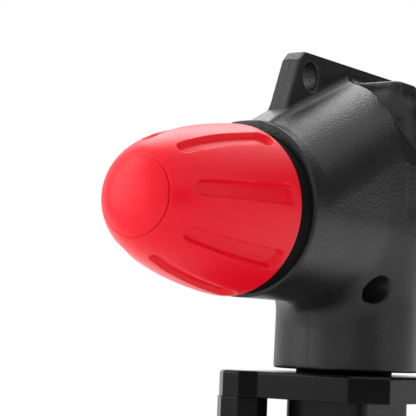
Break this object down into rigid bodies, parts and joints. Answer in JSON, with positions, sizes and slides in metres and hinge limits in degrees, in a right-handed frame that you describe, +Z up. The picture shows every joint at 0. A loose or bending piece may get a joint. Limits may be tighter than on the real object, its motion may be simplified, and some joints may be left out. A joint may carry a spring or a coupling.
{
  "type": "rotary hand transfer pump",
  "caption": "Hand-cranked gear transfer pump: a swivelling two-part head with a fluted flow knob, a crank and a hose outlet, on a stand with a threaded suction port.",
  "frame": {"origin": "centre of the suction port at the underside of the base, on the swivel axis", "axes": "+Z up along the swivel axis, +X towards the crank, -X towards the flow knob, +Y towards the hose outlet, -Y the side with the two shell screws"},
  "size_m": [0.2668, 0.115, 0.1836],
  "materials": {
    "housing_black": "fine-grained satin moulding",
    "stand_black": "semi-gloss moulding",
    "knob_red": "satin-smooth moulding",
    "inner_plastic": "moulded",
    "acetal_white": "machined",
    "grip_black": "moulded",
    "gear_steel": "ground",
    "shaft_steel": "ground",
    "screw_steel": "zinc plated",
    "case_aluminium": "machined",
    "crank_paint": "black powder coat",
    "valve_brass": "turned",
    "bush_bronze": "sintered",
    "seal_rubber": "moulded"
  },
  "bodies": {
    "stand": {"base_plate": "stand_black", "posts": "stand_black", "collar": "stand_black", "tie_bolts": "screw_steel", "inlet_block": "stand_black", "block_screws": "screw_steel", "thrust_washer": "acetal_white", "disc_stop": "inner_plastic"},
    "check_valve": {"check_disc": "acetal_white"},
    "head": {"swivel_tube": "inner_plastic", "swivel_oring": "seal_rubber", "retaining_ring": "screw_steel", "front_shell": "housing_black", "rear_shell": "housing_black", "shell_screws": "screw_steel", "rear_screws": "screw_steel", "gear_case": "case_aluminium", "end_plate_left": "case_aluminium", "end_plate_right": "case_aluminium", "case_bushes": "bush_bronze", "case_screws": "screw_steel", "inlet_manifold": "inner_plastic", "bonnet": "inner_plastic", "valve_sleeve": "inner_plastic", "drive_bonnet": "inner_plastic", "drive_bush": "bush_bronze", "shaft_seal": "seal_rubber", "outlet_spout": "valve_brass", "outlet_seal": "seal_rubber", "outlet_nut": "valve_brass"},
    "flow_knob": {"knob_shell": "knob_red", "knob_cap": "knob_red", "knob_screw": "screw_steel", "valve_spindle": "shaft_steel", "valve_plug": "valve_brass", "spindle_orings": "seal_rubber"},
    "crank": {"drive_shaft": "shaft_steel", "drive_key": "shaft_steel", "drive_gear": "gear_steel", "crank_arm": "crank_paint", "crank_washer": "screw_steel", "crank_screw": "screw_steel", "grip_axle": "shaft_steel"},
    "grip": {"crank_grip": "grip_black", "grip_cap": "grip_black"},
    "idler": {"idler_gear": "gear_steel", "idler_key": "shaft_steel", "idler_shaft": "shaft_steel"}
  },
  "joints": [
    {"name": "head_swivel", "type": "hinge", "parent": "stand", "child": "head", "pos_m": [0, 0, 0.05], "axis": [0, 0, 1], "continuous": true},
    {"name": "check_lift", "type": "slide", "parent": "stand", "child": "check_valve", "axis": [0, 0, 1], "range_m": [0, 0.0026]},
    {"name": "knob_turn", "type": "hinge", "parent": "head", "child": "flow_knob", "pos_m": [-0.069, 0, 0.095], "axis": [1, 0, 0], "range_deg": [0, 90]},
    {"name": "crank_spin", "type": "hinge", "parent": "head", "child": "crank", "pos_m": [0.07, 0, 0.095], "axis": [1, 0, 0], "continuous": true},
    {"name": "grip_spin", "type": "hinge", "parent": "crank", "child": "grip", "pos_m": [0.0844, 0, 0.17], "axis": [1, 0, 0], "continuous": true},
    {"name": "idler_spin", "type": "hinge", "parent": "head", "child": "idler", "pos_m": [0, 0, 0.117], "axis": [1, 0, 0], "continuous": true}
  ],
  "couplings": [
    {"joint": "idler_spin", "follows": "crank_spin", "ratio": -1}
  ]
}
